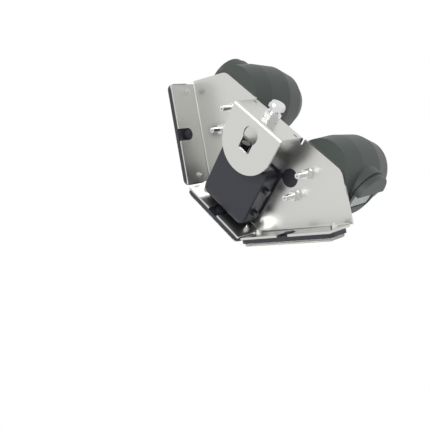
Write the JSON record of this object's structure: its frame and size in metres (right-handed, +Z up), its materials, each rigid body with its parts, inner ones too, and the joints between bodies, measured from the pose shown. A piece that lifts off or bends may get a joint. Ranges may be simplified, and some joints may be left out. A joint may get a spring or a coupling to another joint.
{
  "type": "camera and light bracket",
  "caption": "Bent stainless clamp bracket with side camera pods, light bars under its flanges and a control box.",
  "frame": {"origin": "under the middle of the assembly, on the bench", "axes": "+Z up; X along the clamp fold; the open side faces -Y"},
  "size_m": [0.2264, 0.162, 0.1171],
  "materials": {
    "stainless": "brushed",
    "fastener": "bright",
    "clear_lens": "clear",
    "window": "clear",
    "amber": "gloss",
    "board": "matte",
    "rubber": "matte",
    "pod_plastic": "matte",
    "black_plastic": "matte"
  },
  "bodies": {
    "base": {"box_back": "black_plastic", "box_board": "board", "box_glands": "black_plastic", "box_shell": "black_plastic", "bracket": "stainless", "clamp_jam_nut": "fastener", "clamp_weld_nut": "fastener", "grommet_left": "rubber", "grommet_right": "rubber", "light_left_base": "black_plastic", "light_left_board": "board", "light_left_chips": "amber", "light_left_lens": "clear_lens", "light_left_screws": "fastener", "light_lower_base": "black_plastic", "light_lower_board": "board", "light_lower_chips": "amber", "light_lower_lens": "clear_lens", "light_lower_screws": "fastener", "light_right_base": "black_plastic", "light_right_board": "board", "light_right_chips": "amber", "light_right_lens": "clear_lens", "light_right_screws": "fastener", "pod_left_gasket": "rubber", "pod_left_inner_shell": "pod_plastic", "pod_left_nuts": "fastener", "pod_left_outer_shell": "pod_plastic", "pod_left_studs": "fastener", "pod_right_gasket": "rubber", "pod_right_inner_shell": "pod_plastic", "pod_right_nuts": "fastener", "pod_right_outer_shell": "pod_plastic", "pod_right_studs": "fastener"},
    "clamp_bolt": {"clamp_bolt": "fastener"},
    "barrel_right": {"pod_right_barrel": "pod_plastic", "pod_right_window": "window", "pod_right_camera": "pod_plastic"},
    "barrel_left": {"pod_left_barrel": "pod_plastic", "pod_left_window": "window", "pod_left_camera": "pod_plastic"}
  },
  "joints": [
    {"name": "clamp_bolt_feed", "type": "slide", "parent": "base", "child": "clamp_bolt", "axis": [0, 0.524, 0.8517], "range_m": [0, 0.006]},
    {"name": "barrel_right_turn", "type": "hinge", "parent": "base", "child": "barrel_right", "pos_m": [0.083, 0.02016, 0.06079], "axis": [1, 0, 0], "range_deg": [-20, 20]},
    {"name": "barrel_left_turn", "type": "hinge", "parent": "base", "child": "barrel_left", "pos_m": [-0.083, 0.02016, 0.06079], "axis": [1, 0, 0], "range_deg": [-20, 20]}
  ]
}
